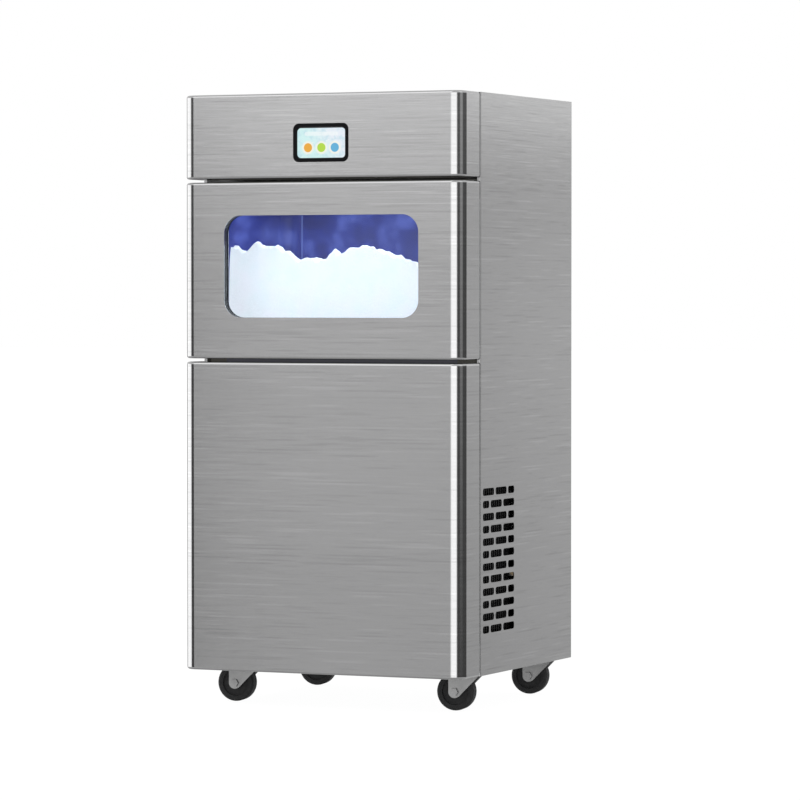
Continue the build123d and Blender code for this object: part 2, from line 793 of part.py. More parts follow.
# Auger: a shaft with one helical flight that scrapes the barrel's wall
auger_clearance = 0.6
auger_end_gap = 30
auger_nose = 20
flight_root = 2
auger_outer = cylinder_bore / 2 - auger_clearance
auger_bottom = cylinder_foot + auger_end_gap
flight_height = cylinder_top - auger_end_gap - auger_bottom
flight_depth = auger_outer - auger_shaft_radius + flight_root
with BuildPart() as auger:
    with BuildLine():
        flight_path = Helix(auger_pitch, flight_height, auger_shaft_radius,
                            center=(cylinder_x, cylinder_y, auger_bottom))
    section_plane = Plane(origin=flight_path @ 0, x_dir=(1, 0, 0), z_dir=flight_path % 0)
    with BuildSketch(section_plane):
        with Locations((flight_depth / 2 - flight_root, 0)):
            Rectangle(flight_depth, flight_thickness)
    sweep(is_frenet=True)
    with Locations((cylinder_x, cylinder_y, cylinder_foot + fit_gap)):
        Cylinder(auger_shaft_radius, cylinder_top - cylinder_foot + auger_nose,
                 align=(Align.CENTER, Align.CENTER, Align.MIN))
auger.part.label = "auger"
export_step(auger.part, "parts/auger.step")

# Extruding head: the cap on the barrel, with the side port that turns the ice forward
head_radius = cylinder_outer / 2
head_wall = 6
head_reach = 2
head_roof = 12
head_height = ice_outlet_height + outlet_rise + head_roof
port_half = ice_outlet_width / 2
port_y = cylinder_y - head_radius - head_reach
with BuildPart() as extruding_head:
    with Locations((cylinder_x, cylinder_y, cylinder_top)):
        Cylinder(head_radius, head_height, align=(Align.CENTER, Align.CENTER, Align.MIN))
    span_box((cylinder_x - port_half - head_wall, cylinder_x + port_half + head_wall),
             (port_y, cylinder_y), (cylinder_top, cylinder_top + head_height))
    with Locations((cylinder_x, cylinder_y, cylinder_top - sheet)):
        Cylinder(cylinder_bore / 2, head_height - head_roof + 2 * sheet,
                 align=(Align.CENTER, Align.CENTER, Align.MIN), mode=Mode.SUBTRACT)
    span_box((cylinder_x - port_half + liner_wall, cylinder_x + port_half - liner_wall),
             (port_y - sheet, cylinder_y),
             (outlet_z - ice_outlet_height / 2 + liner_wall, outlet_z + ice_outlet_height / 2 - liner_wall),
             mode=Mode.SUBTRACT)
extruding_head.part.label = "extruding_head"
export_step(extruding_head.part, "parts/extruding_head.step")

# Ice chute: a rectangular tube from the head, through the foam, into the bin
chute_lip = 8
with BuildPart() as ice_chute:
    with BuildSketch(upright(port_y)):
        with Locations((cylinder_x, outlet_z)):
            Rectangle(ice_outlet_width, ice_outlet_height)
            Rectangle(ice_outlet_width - 2 * liner_wall, ice_outlet_height - 2 * liner_wall,
                      mode=Mode.SUBTRACT)
    extrude(amount=port_y - bin_back + chute_lip)
ice_chute.part.label = "ice_chute"
export_step(ice_chute.part, "parts/ice_chute.step")

# Gear motor: motor below, gearbox above, under the freezing cylinder's foot
gearbox_height = 80
gearbox_radius = 18
motor_radius = 46
motor_post_radius = 9
motor_post_out = 3
pan_top = base_floor + sheet
with BuildPart() as gear_motor:
    with Locations((cylinder_x, cylinder_y, pan_top)):
        Cylinder(motor_radius, cylinder_foot - gearbox_height - pan_top,
                 align=(Align.CENTER, Align.CENTER, Align.MIN))
    with BuildSketch(Plane.XY.offset(cylinder_foot - gearbox_height)):
        with Locations((cylinder_x, cylinder_y)):
            RectangleRounded(2 * foot_radius, 2 * foot_radius, gearbox_radius)
    extrude(amount=gearbox_height)
    with BuildSketch(Plane.XY.offset(pan_top)):
        with Locations((cylinder_x, cylinder_y)):
            with GridLocations(2 * (motor_radius + motor_post_out),
                               2 * (motor_radius + motor_post_out), 2, 2):
                Circle(motor_post_radius)
    extrude(amount=cylinder_foot - gearbox_height - pan_top)
gear_motor.part.label = "gear_motor"
export_step(gear_motor.part, "parts/gear_motor.step")

# Compressor: a domed pot welded at its waist, on four feet
compressor_height = 168
feet_height = 14
feet_radius = 11
feet_inset_x = 15
feet_inset_y = 25
foot_plate = 3
foot_plate_radius = 16
weld_overlap = 3
belly_rise = 26
pot_radius = compressor_radius - weld_overlap
pot_foot = pan_top + feet_height
with BuildPart() as compressor:
    with BuildSketch(upright(compressor_y)) as pot_section:
        with BuildLine():
            Polyline(
                (compressor_x, pot_foot),
                (compressor_x + compressor_radius * 0.7, pot_foot),
                (compressor_x + pot_radius, pot_foot + belly_rise),
                (compressor_x + pot_radius, pan_top + compressor_height * 0.55),
                (compressor_x + compressor_radius, pan_top + compressor_height * 0.55),
                (compressor_x + compressor_radius, pan_top + compressor_height * 0.6),
                (compressor_x + pot_radius, pan_top + compressor_height * 0.6),
                (compressor_x + pot_radius, pan_top + compressor_height * 0.78),
                (compressor_x + compressor_radius * 0.5, pan_top + compressor_height),
                (compressor_x, pan_top + compressor_height),
                close=True,
            )
        make_face()
    revolve(axis=Axis((compressor_x, compressor_y, 0), (0, 0, 1)))
    with BuildSketch(Plane.XY.offset(pot_foot)):
        with Locations((compressor_x, compressor_y)):
            RectangleRounded(2 * compressor_radius, 2 * (compressor_radius - feet_inset_y + feet_inset_x),
                             foot_plate_radius)
    extrude(amount=foot_plate)
    with BuildSketch(Plane.XY.offset(pan_top)):
        with Locations((compressor_x, compressor_y)):
            with GridLocations(2 * (compressor_radius - feet_inset_x),
                               2 * (compressor_radius - feet_inset_y), 2, 2):
                Circle(feet_radius)
    extrude(amount=feet_height)
compressor.part.label = "compressor"
export_step(compressor.part, "parts/compressor.step")

# Compressor terminal cover on the pot's left side
terminal_width = 52
terminal_height = 44
terminal_radius = 8
terminal_depth = 26
terminal_rise = 62
terminal_edge = 4
with BuildPart() as compressor_terminal_cover:
    with BuildSketch(Plane.YZ.offset(compressor_x - compressor_radius - terminal_depth)):
        with Locations((compressor_y, pan_top + terminal_rise)):
            RectangleRounded(terminal_width, terminal_height, terminal_radius)
    extrude(amount=terminal_depth + 3 * weld_overlap)
    chamfer(compressor_terminal_cover.faces().sort_by(Axis.X)[0].edges(), terminal_edge)
    with Locations((compressor_x, compressor_y, pan_top)):
        Cylinder(pot_radius, compressor_height, align=(Align.CENTER, Align.CENTER, Align.MIN),
                 mode=Mode.SUBTRACT)
compressor_terminal_cover.part.label = "compressor_terminal_cover"
export_step(compressor_terminal_cover.part, "parts/compressor_terminal_cover.step")

# Condenser: end plates, fins and the tube bends outside the end plates
condenser_y = front_y + condenser_front
condenser_side_gap = 10
condenser_outer_x = inner_half - condenser_side_gap
condenser_inner_x = condenser_outer_x - condenser_thickness
condenser_rear_y = condenser_y + condenser_depth
fin_count = 16
fin_thickness = 2
core_inset = 5
tube_rows = 6
tube_radius = 5
tube_pitch = condenser_height / tube_rows
with BuildPart() as condenser:
    span_box((condenser_inner_x + core_inset, condenser_outer_x - core_inset),
             (condenser_y, condenser_rear_y),
             (pan_top + core_inset, pan_top + condenser_height - core_inset))
    for fin in range(fin_count):
        fin_y = condenser_y + fin * (condenser_depth - fin_thickness) / (fin_count - 1)
        span_box((condenser_inner_x, condenser_outer_x), (fin_y, fin_y + fin_thickness),
                 (pan_top, pan_top + condenser_height))
    for row in range(tube_rows // 2):
        bend_z = pan_top + (2 * row + 1) * tube_pitch
        with BuildSketch(Plane.YZ.offset((condenser_inner_x + condenser_outer_x) / 2 - tube_radius)):
            with Locations((condenser_y, bend_z)):
                SlotOverall(tube_pitch, 2 * tube_radius, rotation=90)
        extrude(amount=2 * tube_radius)
condenser.part.label = "condenser"
export_step(condenser.part, "parts/condenser.step")

# Fan shroud: a shallow box on the condenser's inner face, with the fan's orifice
orifice_gap = 3
orifice_wall = 2
orifice_reach = 6
orifice_radius = fan_radius + orifice_gap
shroud_inner_x = condenser_inner_x - shroud_depth
fan_y = (condenser_y + condenser_rear_y) / 2
fan_z = pan_top + condenser_height / 2
with BuildPart() as fan_shroud:
    span_box((shroud_inner_x, condenser_inner_x), (condenser_y, condenser_rear_y),
             (pan_top, pan_top + condenser_height))
    span_box((shroud_inner_x + sheet, condenser_inner_x), (condenser_y + sheet, condenser_rear_y - sheet),
             (pan_top + sheet, pan_top + condenser_height - sheet), mode=Mode.SUBTRACT)
    with BuildSketch(Plane.YZ.offset(shroud_inner_x - orifice_reach)):
        with Locations((fan_y, fan_z)):
            Circle(orifice_radius + orifice_wall)
    extrude(amount=orifice_reach + sheet)
    with BuildSketch(Plane.YZ.offset(shroud_inner_x - orifice_reach)):
        with Locations((fan_y, fan_z)):
            Circle(orifice_radius)
    extrude(amount=orifice_reach + 2 * sheet, mode=Mode.SUBTRACT)
fan_shroud.part.label = "fan_shroud"
export_step(fan_shroud.part, "parts/fan_shroud.step")

# Fan blades: a hub and pitched blades, inside the shroud's orifice
hub_radius = 18
hub_length = 20
hub_edge = 3
blade_pitch = 28
blade_chord = 40
blade_thickness = 2
blade_root = 2
fan_hub_x = shroud_inner_x + 4
fan_axis_plane = Plane(origin=(fan_hub_x, fan_y, fan_z), x_dir=(0, 1, 0), z_dir=(1, 0, 0))
with BuildPart(fan_axis_plane) as fan_blades:
    Cylinder(hub_radius, hub_length)
    fillet(fan_blades.edges().sort_by(Axis.X)[-1], hub_edge)
    with PolarLocations(hub_radius - blade_root, fan_blades_count):
        Box(fan_radius - hub_radius + blade_root, blade_chord, blade_thickness, rotation=(blade_pitch, 0, 0),
            align=(Align.MIN, Align.CENTER, Align.CENTER))
fan_blades.part.label = "fan_blades"
export_step(fan_blades.part, "parts/fan_blades.step")

# Fan motor: a small can on a four-legged spider that stands on the shroud's face
fan_motor_radius = 26
fan_motor_length = 40
fan_motor_edge = 4
fan_shaft_radius = 4
fan_shaft_gap = 4
spider_width = 10
spider_thickness = 3
spider_foot = 4
fan_motor_face = fan_hub_x - hub_length / 2 - fan_shaft_gap
spider_reach = orifice_radius + spider_foot
with BuildPart() as fan_motor:
    with BuildSketch(Plane.YZ.offset(fan_motor_face - fan_motor_length)):
        with Locations((fan_y, fan_z)):
            Circle(fan_motor_radius)
    extrude(amount=fan_motor_length)
    chamfer(fan_motor.edges().group_by(Axis.X)[0], fan_motor_edge)
    with BuildSketch(Plane.YZ.offset(fan_motor_face - spider_thickness)):
        with Locations((fan_y, fan_z)):
            Rectangle(spider_width, 2 * spider_reach)
            Rectangle(2 * (spider_reach - spider_foot), spider_width)
    extrude(amount=spider_thickness)
    with BuildSketch(Plane.YZ.offset(fan_motor_face - spider_thickness)):
        with Locations((fan_y, fan_z - spider_reach), (fan_y, fan_z + spider_reach)):
            Rectangle(spider_width, spider_foot)
    extrude(amount=shroud_inner_x - fan_motor_face + spider_thickness)
    with BuildSketch(Plane.YZ.offset(fan_motor_face)):
        with Locations((fan_y, fan_z)):
            Circle(fan_shaft_radius)
    extrude(amount=fan_shaft_gap - fit_gap)
fan_motor.part.label = "fan_motor"
export_step(fan_motor.part, "parts/fan_motor.step")

# Water tank on the deck, open at the top under its lid
tank_radius = 10
tank_top = deck_height + tank_height
with BuildPart() as water_tank:
    with BuildSketch(Plane.XY.offset(deck_height)):
        with Locations((tank_x, tank_y)):
            RectangleRounded(tank_width, tank_depth, tank_radius)
    extrude(amount=tank_height)
    with BuildSketch(Plane.XY.offset(deck_height + tank_wall)):
        with Locations((tank_x, tank_y)):
            RectangleRounded(tank_width - 2 * tank_wall, tank_depth - 2 * tank_wall, tank_radius - tank_wall)
    extrude(amount=tank_height, mode=Mode.SUBTRACT)
water_tank.part.label = "water_tank"
export_step(water_tank.part, "parts/water_tank.step")

# Water tank lid, which carries the float valve's block inside the tank
lid_overhang = 2
lid_thickness = 3
lid_edge = 1
valve_half = 9
valve_drop = 24
ear_thickness = 4
ear_half = 8
float_pin_radius = 2
float_side = 24
float_pin_rise = 7
float_pivot_x = tank_x + tank_width / 2 - float_side
float_pivot_z = tank_top - valve_drop + float_pin_rise
with BuildPart() as water_tank_lid:
    with BuildSketch(Plane.XY.offset(tank_top)):
        with Locations((tank_x, tank_y)):
            RectangleRounded(tank_width + 2 * lid_overhang, tank_depth + 2 * lid_overhang,
                             tank_radius + lid_overhang)
    extrude(amount=lid_thickness)
    chamfer(water_tank_lid.faces().sort_by(Axis.Z)[-1].edges(), lid_edge)
    for side in (-1, 1):
        ear_y = sorted((tank_y + side * (valve_half - ear_thickness), tank_y + side * valve_half))
        span_box((float_pivot_x - ear_half, float_pivot_x + ear_half), ear_y,
                 (tank_top - valve_drop, tank_top))
    with BuildSketch(upright(tank_y + valve_half)):
        with Locations((float_pivot_x, float_pivot_z)):
            Circle(float_pin_radius + pin_play)
    extrude(amount=2 * valve_half, mode=Mode.SUBTRACT)
water_tank_lid.part.label = "water_tank_lid"
export_step(water_tank_lid.part, "parts/water_tank_lid.step")

# Float: an arm on its pin between the lid's ears, with a hollow ball at the far end
float_reach = 84
float_radius = 16
float_height = 20
float_arm_half = 3
float_arm_height = 5
with BuildPart() as float_arm:
    with BuildSketch(upright(tank_y + float_arm_half)):
        with Locations((float_pivot_x, float_pivot_z)):
            Circle(float_arm_height)
        with Locations((float_pivot_x - float_reach / 2, float_pivot_z)):
            Rectangle(float_reach, float_arm_height)
    extrude(amount=2 * float_arm_half)
    with BuildSketch(upright(tank_y + valve_half - fit_gap)):
        with Locations((float_pivot_x, float_pivot_z)):
            Circle(float_pin_radius)
    extrude(amount=2 * valve_half - 2 * fit_gap)
    with Locations((float_pivot_x - float_reach, tank_y, float_pivot_z)):
        Cylinder(float_radius, float_height)
float_arm.part.label = "float_arm"
export_step(float_arm.part, "parts/float_arm.step")

# Water inlet: a spigot through the back panel, with a hexagon inside it and a lock nut outside
spigot_reach = back_recess - 1
spigot_wall = 3
nut_overhang = 6
nut_thickness = 3
hexagon_depth = 10
with BuildPart() as water_inlet:
    with BuildSketch(upright(back_sheet_y + sheet + spigot_reach)):
        with Locations((water_inlet_x, water_inlet_z)):
            Circle(spigot_radius)
    extrude(amount=spigot_reach + sheet)
    with BuildSketch(upright(back_sheet_y + sheet + nut_thickness)):
        with Locations((water_inlet_x, water_inlet_z)):
            RegularPolygon(spigot_radius + nut_overhang, 6)
    extrude(amount=nut_thickness)
    with BuildSketch(upright(back_sheet_y)):
        with Locations((water_inlet_x, water_inlet_z)):
            RegularPolygon(spigot_radius + nut_overhang, 6)
    extrude(amount=hexagon_depth)
    with BuildSketch(upright(back_y)):
        with Locations((water_inlet_x, water_inlet_z)):
            Circle(spigot_radius - spigot_wall)
    extrude(amount=back_recess + sheet + 2 * hexagon_depth, mode=Mode.SUBTRACT)
water_inlet.part.label = "water_inlet"
export_step(water_inlet.part, "parts/water_inlet.step")

# Drain outlet: a plain spigot through the back panel, with a flange inside it and a round nut outside
drain_wall = 2.5
flange_thickness = 5
with BuildPart() as drain_outlet:
    with BuildSketch(upright(back_sheet_y + sheet + spigot_reach)):
        with Locations((drain_x, drain_z)):
            Circle(drain_radius)
    extrude(amount=spigot_reach + sheet)
    with BuildSketch(upright(back_sheet_y + sheet + nut_thickness)):
        with Locations((drain_x, drain_z)):
            Circle(drain_radius + nut_overhang)
    extrude(amount=nut_thickness)
    with BuildSketch(upright(back_sheet_y)):
        with Locations((drain_x, drain_z)):
            Circle(drain_radius + nut_overhang)
    extrude(amount=flange_thickness)
    with BuildSketch(upright(back_y)):
        with Locations((drain_x, drain_z)):
            Circle(drain_radius - drain_wall)
    extrude(amount=back_recess + sheet + 2 * flange_thickness, mode=Mode.SUBTRACT)
drain_outlet.part.label = "drain_outlet"
export_step(drain_outlet.part, "parts/drain_outlet.step")

# Power inlet: an appliance socket with three blades, set into the back panel
socket_rim = 3
socket_flange = 6
socket_body = 24
socket_depth = 18
mouth_size = (24, 16)
mouth_bevel = 4
blade_length = 9
blade_size = (2, 4)
blade_spots = [(-6, -2), (0, 3), (6, -2)]
with BuildPart() as power_inlet:
    with BuildSketch(upright(back_sheet_y + sheet + socket_rim)):
        with Locations((power_x, power_z)):
            RectangleRounded(socket_width + 2 * socket_flange, socket_height + 2 * socket_flange,
                             socket_flange)
    extrude(amount=socket_rim)
    with BuildSketch(upright(back_sheet_y + sheet)):
        with Locations((power_x, power_z)):
            Rectangle(socket_width, socket_height)
    extrude(amount=socket_body)
    with BuildSketch(upright(back_sheet_y + sheet + socket_rim)) as socket_mouth:
        with Locations((power_x, power_z)):
            Rectangle(*mouth_size)
        chamfer(socket_mouth.vertices().group_by(Axis.Y)[-1], mouth_bevel)
    extrude(amount=socket_depth, mode=Mode.SUBTRACT)
    with BuildSketch(upright(back_sheet_y + sheet + socket_rim - socket_depth + blade_length)):
        with Locations(*[(power_x + across, power_z + up) for across, up in blade_spots]):
            Rectangle(*blade_size)
    extrude(amount=blade_length + sheet)
power_inlet.part.label = "power_inlet"
export_step(power_inlet.part, "parts/power_inlet.step")

# Casters: plate with the outer race, fork with the inner race, axle and wheel, at each corner
axle_z = wheel_radius
race_height = 9
race_lift = 3
race_wall = 2.4
race_play = 0.6
leg_gap = 2
leg_toe = 7
leg_toe_drop = 8
leg_shoulder = 26
bolt_rim = 3
bolt_head = 4
plate_radius = 4
tyre_edge = 3
web_recess = 3
web_radius = 22
wheel_hub_radius = 9
wheel_roll = 0.7
fork_top = base_floor - plate_thickness - race_height
leg_y = wheel_width / 2 + leg_gap
hub_width = 2 * leg_y - 2 * fit_gap
caster_left = caster_side_inset - half_width + caster_shift
caster_right = half_width - caster_side_inset + caster_shift
caster_front = front_y + caster_front_inset
caster_back = back_y - caster_back_inset
caster_places = {
    "front_left": (caster_left, caster_front),
    "front_right": (caster_right, caster_front),
    "back_left": (caster_left, caster_back),
    "back_right": (caster_right, caster_back),
}
for corner, (place_x, place_y) in caster_places.items():
    swivel = Plane(
        origin=(place_x, place_y, 0),
        x_dir=(cos(radians(caster_yaw)), sin(radians(caster_yaw)), 0),
        z_dir=(0, 0, 1),
    )
    race_bottom = fork_top + race_lift
    plate_bottom = base_floor - plate_thickness

    with BuildPart() as caster_plate:
        with BuildSketch(Plane(origin=(place_x, place_y, plate_bottom))):
            RectangleRounded(2 * plate_half, 2 * plate_half, plate_radius)
        extrude(amount=plate_thickness)
        with BuildSketch(swivel.offset(race_bottom)):
            Circle(race_radius + race_play + race_wall)
            Circle(race_radius + race_play, mode=Mode.SUBTRACT)
        extrude(amount=plate_bottom - race_bottom)
    caster_plate.part.label = f"caster_{corner}_plate"
    export_step(caster_plate.part, f"parts/caster_{corner}_plate.step")

    def leg_plane(offset):
        """Upright plane along the wheel, at a distance from its middle; extruding goes outward."""
        outward = 1 if offset > 0 else -1
        return Plane(
            origin=swivel.origin + swivel.y_dir * offset,
            x_dir=swivel.x_dir * -outward,
            z_dir=swivel.y_dir * outward,
        )

    with BuildPart() as caster_fork:
        with BuildSketch(swivel.offset(fork_top - fork_thickness)):
            Circle(race_radius + fork_thickness)
            with Locations((-(caster_trail + fork_back) / 2, 0)):
                Rectangle(caster_trail + fork_back, 2 * (leg_y + fork_thickness))
        extrude(amount=fork_thickness)
        with BuildSketch(swivel.offset(fork_top)):
            Circle(race_radius)
        extrude(amount=plate_bottom - fit_gap - fork_top)
        for side in (-1, 1):
            with BuildSketch(leg_plane(side * leg_y)):
                flip = -side
                with BuildLine():
                    Polyline(
                        (-flip * (caster_trail + fork_back), fork_top),
                        (-flip * (caster_trail + fork_back), axle_z),
                        (-flip * (caster_trail - leg_toe), axle_z - leg_toe_drop),
                        (flip * race_radius, fork_top - leg_shoulder),
                        (flip * race_radius, fork_top),
                        close=True,
                    )
                make_face()
                with Locations((flip * -caster_trail, axle_z)):
                    Circle(fork_back)
                with Locations((flip * -caster_trail, axle_z)):
                    Circle(axle_radius + fit_gap / 3, mode=Mode.SUBTRACT)
            extrude(amount=fork_thickness)
    caster_fork.part.label = f"caster_{corner}_fork"
    export_step(caster_fork.part, f"parts/caster_{corner}_fork.step")

    wheel_plane = Plane(
        origin=swivel.origin - swivel.x_dir * caster_trail + Vector(0, 0, axle_z),
        x_dir=swivel.x_dir,
        z_dir=swivel.y_dir,
    )
    rolled_plane = wheel_plane.rotated((0, 0, wheel_roll))
    bolt_half = leg_y + fork_thickness

    with BuildPart() as caster_axle:
        with BuildSketch(wheel_plane.offset(-bolt_half)):
            Circle(axle_radius)
        extrude(amount=2 * bolt_half)
        for head_start in (-bolt_half - bolt_head, bolt_half):
            with BuildSketch(wheel_plane.offset(head_start)):
                RegularPolygon(axle_radius + bolt_rim, 6)
            extrude(amount=bolt_head)
    caster_axle.part.label = f"caster_{corner}_axle"
    export_step(caster_axle.part, f"parts/caster_{corner}_axle.step")

    with BuildPart() as caster_wheel:
        with BuildSketch(rolled_plane.offset(-wheel_width / 2)):
            Circle(wheel_radius)
        extrude(amount=wheel_width)
        chamfer(caster_wheel.edges().filter_by(GeomType.CIRCLE), tyre_edge)
        for start in (-wheel_width / 2, wheel_width / 2 - web_recess):
            with BuildSketch(rolled_plane.offset(start)):
                Circle(web_radius)
            extrude(amount=web_recess, mode=Mode.SUBTRACT)
        with BuildSketch(rolled_plane.offset(-hub_width / 2)):
            Circle(wheel_hub_radius)
        extrude(amount=hub_width)
        with BuildSketch(rolled_plane.offset(-hub_width)):
            Circle(axle_radius + pin_play)
        extrude(amount=2 * hub_width, mode=Mode.SUBTRACT)
    caster_wheel.part.label = f"caster_{corner}_wheel"
    export_step(caster_wheel.part, f"parts/caster_{corner}_wheel.step")
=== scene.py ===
"""The looks of the snow ice machine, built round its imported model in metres."""

from math import atan, cos, pi, radians, sin

import bpy
import numpy as np
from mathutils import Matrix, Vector


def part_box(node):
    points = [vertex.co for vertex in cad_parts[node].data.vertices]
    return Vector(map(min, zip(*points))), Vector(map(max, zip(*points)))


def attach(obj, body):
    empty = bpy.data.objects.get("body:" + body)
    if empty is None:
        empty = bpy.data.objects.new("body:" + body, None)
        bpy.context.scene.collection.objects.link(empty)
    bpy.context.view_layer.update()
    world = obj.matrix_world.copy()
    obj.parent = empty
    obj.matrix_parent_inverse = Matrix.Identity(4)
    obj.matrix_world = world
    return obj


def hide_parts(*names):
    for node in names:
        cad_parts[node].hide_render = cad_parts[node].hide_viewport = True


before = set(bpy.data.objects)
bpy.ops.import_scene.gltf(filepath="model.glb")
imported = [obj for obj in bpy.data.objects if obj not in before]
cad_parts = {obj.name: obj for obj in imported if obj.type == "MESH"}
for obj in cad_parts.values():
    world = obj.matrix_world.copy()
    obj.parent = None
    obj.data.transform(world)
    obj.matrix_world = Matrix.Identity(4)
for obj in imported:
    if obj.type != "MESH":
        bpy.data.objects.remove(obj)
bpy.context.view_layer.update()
mm_per_metre = 1000

# Camera. A long lens at two thirds of the machine's height, turned to its right front corner, with the
# horizon a little above the picture's middle.
picture_px = 800
focal_px = 4233
horizon_px = 293.5
sensor_mm = 36
camera_turn = radians(24.05)
camera_distance = 7.094
camera_aside = 0.0328
camera_height = 0.6803

camera_data = bpy.data.cameras.new("camera")
camera_data.sensor_width = sensor_mm
camera_data.lens = sensor_mm * focal_px / picture_px
camera = bpy.data.objects.new("camera", camera_data)
camera.location = (
    sin(camera_turn) * camera_distance + cos(camera_turn) * camera_aside,
    -cos(camera_turn) * camera_distance + sin(camera_turn) * camera_aside,
    camera_height,
)
camera.rotation_euler = (pi / 2 - atan((picture_px / 2 - horizon_px) / focal_px), 0, camera_turn)
bpy.context.scene.collection.objects.link(camera)
bpy.context.scene.camera = camera
bpy.context.scene.view_settings.view_transform = "Standard"


class Socket:
    """One output of a node tree, on which sums and products of shader values are written plainly."""

    def __init__(self, tree, output):
        self.tree, self.output = tree, output

    def math(self, operation, *values):
        """Adds one Math node that works on this socket and the given values."""
        return shader_node(self.tree, "ShaderNodeMath", {"operation": operation}, self, *values)

    def __add__(self, other):
        return self.math("ADD", other)

    def __sub__(self, other):
        return self.math("SUBTRACT", other)

    def __mul__(self, other):
        return self.math("MULTIPLY", other)

    def __truediv__(self, other):
        return self.math("DIVIDE", other)

    def __rsub__(self, other):
        return shader_node(self.tree, "ShaderNodeMath", {"operation": "SUBTRACT"}, other, self)

    __radd__ = __add__

    def step(self, low, high):
        """Rises smoothly from 0 to 1 between two values of this socket."""
        smooth = {"interpolation_type": "SMOOTHSTEP"}
        return shader_node(self.tree, "ShaderNodeMapRange", smooth, self, low, high)

    def between(self, rise, fall):
        """1 between two soft edges, each given by its two ends, and 0 outside them."""
        return self.step(*rise) * (1 - self.step(*fall))


def fill(tree, socket, value):
    """Links an input to another node's output, or gives it a plain value."""
    if isinstance(value, Socket):
        tree.links.new(value.output, socket)
    else:
        socket.default_value = value


def shader_node(tree, kind, settings, *values, **named):
    """Adds a node with its settings, fills its inputs by place or name, and gives its first output."""
    made = tree.nodes.new(kind)
    for name, setting in settings.items():
        setattr(made, name, setting)
    for place, value in enumerate(values):
        fill(tree, made.inputs[place], value)
    for name, value in named.items():
        fill(tree, made.inputs[name.replace("_", " ")], value)
    return Socket(tree, made.outputs[0])


def colour_ramp(tree, factor, stops):
    """Turns a factor into a colour by a ramp through stops, each a place and a red, green and blue."""
    made = tree.nodes.new("ShaderNodeValToRGB")
    elements = made.color_ramp.elements
    while len(elements) < len(stops):
        elements.new(0.5)
    for element, (place, colour) in zip(elements, stops):
        element.position, element.color = place, (*colour, 1)
    fill(tree, made.inputs[0], factor)
    return Socket(tree, made.outputs[0])


def blend_colours(tree, factor, first, second):
    """Mixes two colours, each a socket or an RGBA value, by a factor."""
    made = tree.nodes.new("ShaderNodeMix")
    made.data_type = "RGBA"
    # The node has inputs for each type of value. Those for colours are the seventh and eighth.
    for index, value in ((0, factor), (6, first), (7, second)):
        fill(tree, made.inputs[index], value)
    return Socket(tree, made.outputs[2])


def axes(tree, vector):
    """The x, y and z of a node's vector output, as three sockets."""
    parts = tree.nodes.new("ShaderNodeSeparateXYZ")
    tree.links.new(vector, parts.inputs[0])
    return [Socket(tree, output) for output in parts.outputs]


def link_output(tree, kind, shader):
    """Ends a node tree with an output node that shows the shader."""
    made = tree.nodes.new(kind)
    tree.links.new(shader.output, made.inputs[0])


def grey(level):
    """A neutral colour as red, green and blue."""
    return (level, level, level)


# Studio. The world is white to the camera. To polished metal it is a plain bright room, with a row of
# white panels and dark openings at the machine's own level, which draw the bright and dark lines
# along the cabinet's rounded edges. Other surfaces get an even fill from all sides. A turn is counted
# from the front, positive to the machine's right side.
world = bpy.data.worlds.new("studio")
bpy.context.scene.world = world
world.use_nodes = True
air = world.node_tree
air.nodes.clear()
panel_levels = [
    (-180, 0.74), (-156, 0.3), (-128, 0.34), (-106, 0.5), (-50, 0.11), (-28.4, 0.1), (-27.1, 1.07),
    (-25.4, 0.88), (-23.6, 0.78), (-15, 0.77), (31, 0.4), (44, 0.11), (151, 0.11), (156.5, 0.7),
    (160, 0.82), (180, 0.82),
]
height_levels = [
    (-1, 0.5), (-0.7, 0.6), (-0.45, 0.75), (-0.25, 0.8), (-0.12, 0.69), (-0.05, 0.81), (-0.01, 0.9),
    (0.012, 0.9), (0.031, 0.71), (0.047, 1.5), (0.06, 1.6), (0.1, 1.65), (0.2, 1.75), (0.36, 2.05),
    (0.6, 2.0), (1, 1.7),
]
# The two ramps hold their levels as shares of the top level.
level_top = 4
white_level = 1.84
thin_level = 0.34
plain_level = 0.8
sky_loss = 0.48
fill_level = 0.8
direction = shader_node(air, "ShaderNodeTexCoord", {})
toward_x, toward_y, toward_z = axes(air, direction.output)
turn = toward_x.math("ARCTAN2", toward_y * -1)


def turn_between(rise, fall):
    """1 between two soft edges of the turn, each given by its two ends in degrees, and 0 outside."""
    return turn.between([radians(end) for end in rise], [radians(end) for end in fall])


turn_stops = [(degrees / 360 + 0.5, grey(level / level_top)) for degrees, level in panel_levels]
room_turn = colour_ramp(air, turn / (2 * pi) + 0.5, turn_stops)
height_stops = [(rise / 2 + 0.5, grey(level / level_top)) for rise, level in height_levels]
room_height = colour_ramp(air, toward_z / 2 + 0.5, height_stops)
thin_panel = turn_between((64, 74), (92, 104)) * toward_z.step(-0.1, 0.06) * thin_level
left_panel = turn_between((-124, -110), (-62, -50))
right_panel = turn_between((-15.5, -8), (32, 46))
eye_level = toward_z.between((-0.22, -0.14), (0.09, 0.17))
white_panels = (left_panel + right_panel) * eye_level
room_turn = room_turn * eye_level + (1 - eye_level) * (plain_level / level_top)
